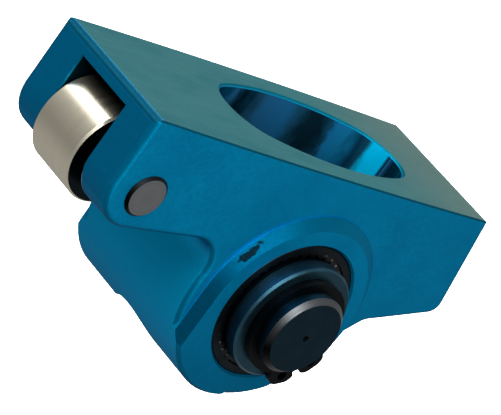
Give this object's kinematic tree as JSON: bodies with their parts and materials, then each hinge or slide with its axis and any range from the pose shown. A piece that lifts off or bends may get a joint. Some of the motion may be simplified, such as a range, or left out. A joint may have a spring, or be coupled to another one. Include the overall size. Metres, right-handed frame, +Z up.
{
  "type": "roller rocker arm with needle roller fulcrum bearing",
  "caption": "Anodised rocker arm that rocks on a needle roller trunnion bearing, with a roller between two legs at the nose and a pushrod cup at the tail.",
  "frame": {"origin": "where the trunnion axis crosses the stud bore axis, at the middle of the arm", "axes": "+X to the pushrod end, -X to the roller end, +Y along the trunnion to the far side, +Z up out of the adjuster window"},
  "size_m": [0.0745, 0.0382, 0.0359],
  "materials": {
    "anodised_aluminium": "satin blue anodise",
    "dark_steel": "turned and hardened, dark",
    "black_steel": "drawn, black oxide",
    "bearing_steel": "polished",
    "spring_steel": "stamped, oiled",
    "ground_steel": "ground"
  },
  "bodies": {
    "fulcrum": {"trunnion": "dark_steel", "near_snap_ring": "spring_steel", "far_snap_ring": "spring_steel"},
    "arm": {"arm_body": "anodised_aluminium", "near_bearing_cup": "black_steel", "far_bearing_cup": "black_steel", "roller_axle": "ground_steel", "pushrod_cup": "black_steel"},
    "near_needles": {"near_needle_row": "bearing_steel"},
    "far_needles": {"far_needle_row": "bearing_steel"},
    "near_washer": {"near_thrust_washer": "dark_steel"},
    "far_washer": {"far_thrust_washer": "dark_steel"},
    "roller": {"roller_wheel": "ground_steel"}
  },
  "joints": [
    {"name": "arm_rock", "type": "hinge", "parent": "fulcrum", "child": "arm", "pos_m": [0, 0, 0], "axis": [0, 1, 0], "range_deg": [-14, 14]},
    {"name": "near_needle_orbit", "type": "hinge", "parent": "fulcrum", "child": "near_needles", "pos_m": [0, 0, 0], "axis": [0, 1, 0], "range_deg": [-8.5, 8.5]},
    {"name": "far_needle_orbit", "type": "hinge", "parent": "fulcrum", "child": "far_needles", "pos_m": [0, 0, 0], "axis": [0, 1, 0], "range_deg": [-8.5, 8.5]},
    {"name": "near_washer_spin", "type": "hinge", "parent": "fulcrum", "child": "near_washer", "pos_m": [0, -0.01465, 0], "axis": [0, 1, 0], "continuous": true},
    {"name": "far_washer_spin", "type": "hinge", "parent": "fulcrum", "child": "far_washer", "pos_m": [0, 0.01465, 0], "axis": [0, 1, 0], "continuous": true},
    {"name": "roller_spin", "type": "hinge", "parent": "arm", "child": "roller", "pos_m": [-0.0354, 0, 0.0102], "axis": [0, 1, 0], "continuous": true}
  ],
  "couplings": [
    {"joint": "near_needle_orbit", "follows": "arm_rock", "ratio": 0.5424},
    {"joint": "far_needle_orbit", "follows": "arm_rock", "ratio": 0.5424}
  ]
}
